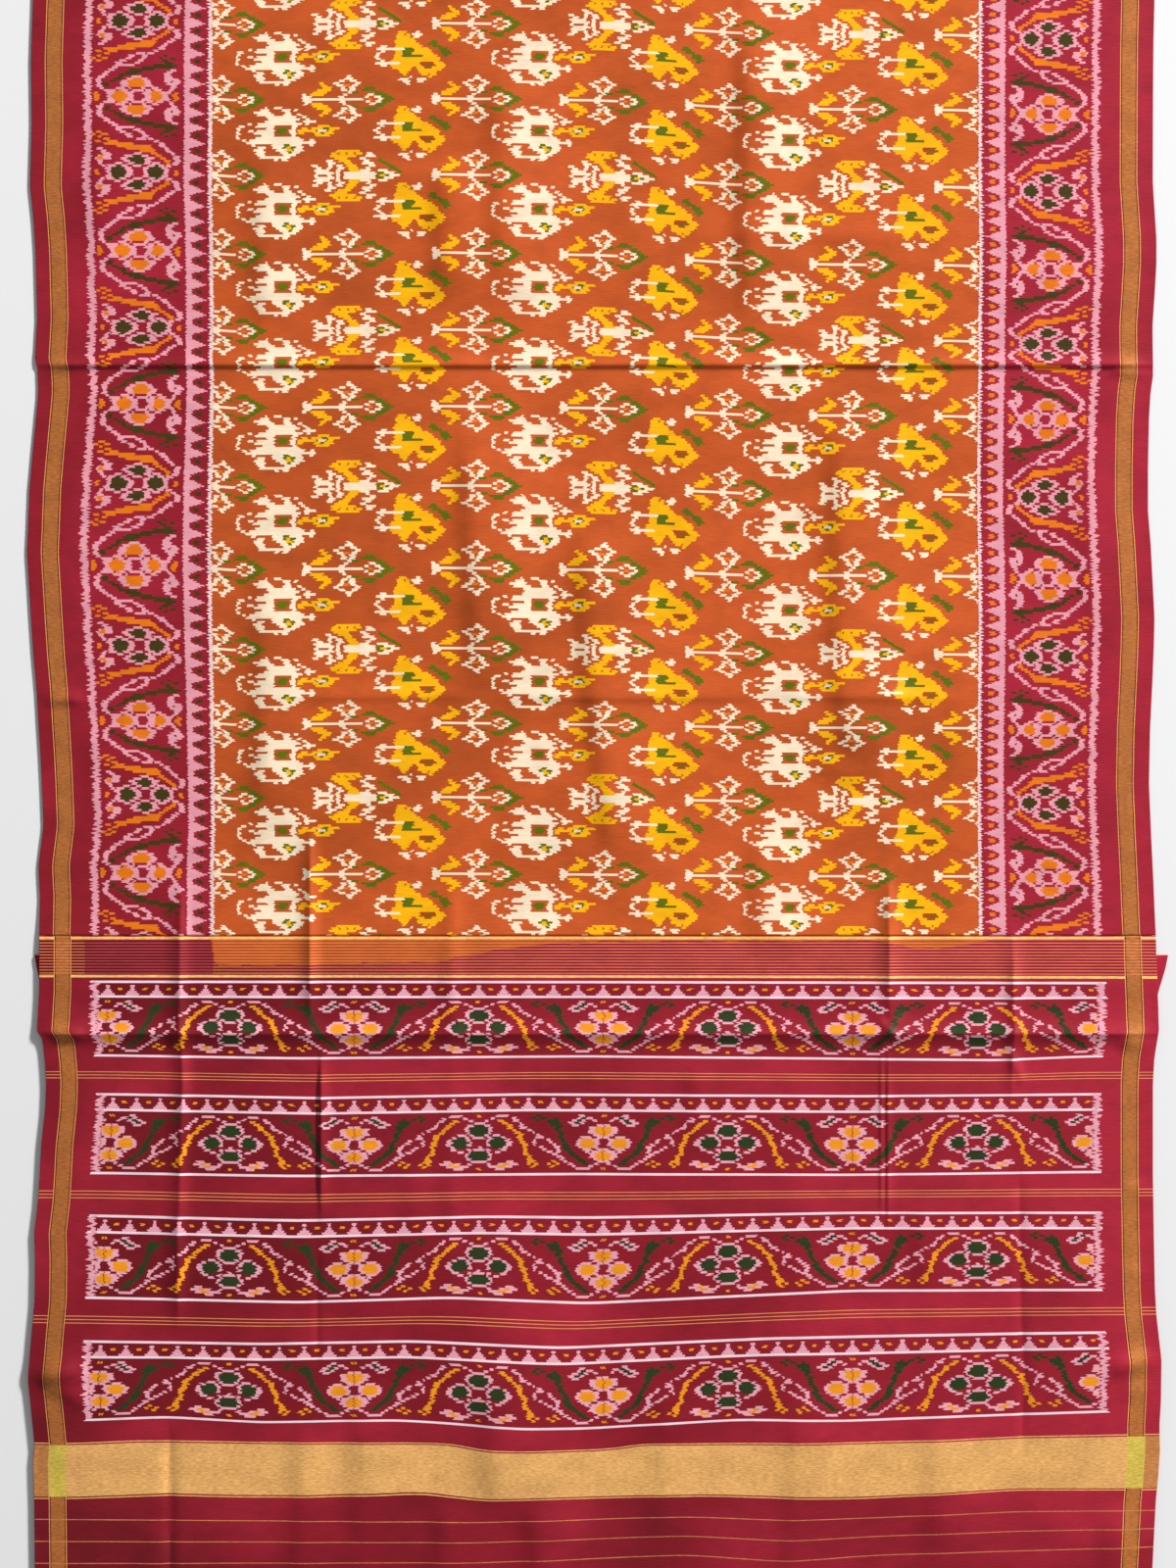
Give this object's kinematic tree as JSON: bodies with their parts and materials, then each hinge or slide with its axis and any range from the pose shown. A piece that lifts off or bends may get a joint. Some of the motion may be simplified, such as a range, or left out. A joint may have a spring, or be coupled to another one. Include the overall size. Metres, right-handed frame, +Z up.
{
  "type": "patola saree laid flat",
  "caption": "Single ikat silk saree laid out flat and folded under itself, showing its patterned body, two side borders and banded pallu.",
  "frame": {"origin": "middle of the bounding box, on the plane that the folded cloth lies on", "axes": "+Y along the cloth from the pallu's free end to the far fold, +X to the viewer's right with the pallu nearest, +Z up from the table"},
  "size_m": [1.1666, 2.049, 0.0158],
  "materials": {
    "field_silk": "rust orange ikat silk with cream, yellow and green motifs and maroon borders, soft sheen",
    "pallu_silk": "maroon ikat silk with pink, green and gold bands and woven gold thread, soft sheen",
    "hidden_silk": "plain maroon selvedges and reverse of the same silk, soft sheen"
  },
  "bodies": {
    "root": {"field_stretch": "field_silk", "pallu_stretch": "pallu_silk", "under_layers": "hidden_silk"}
  },
  "joints": []
}
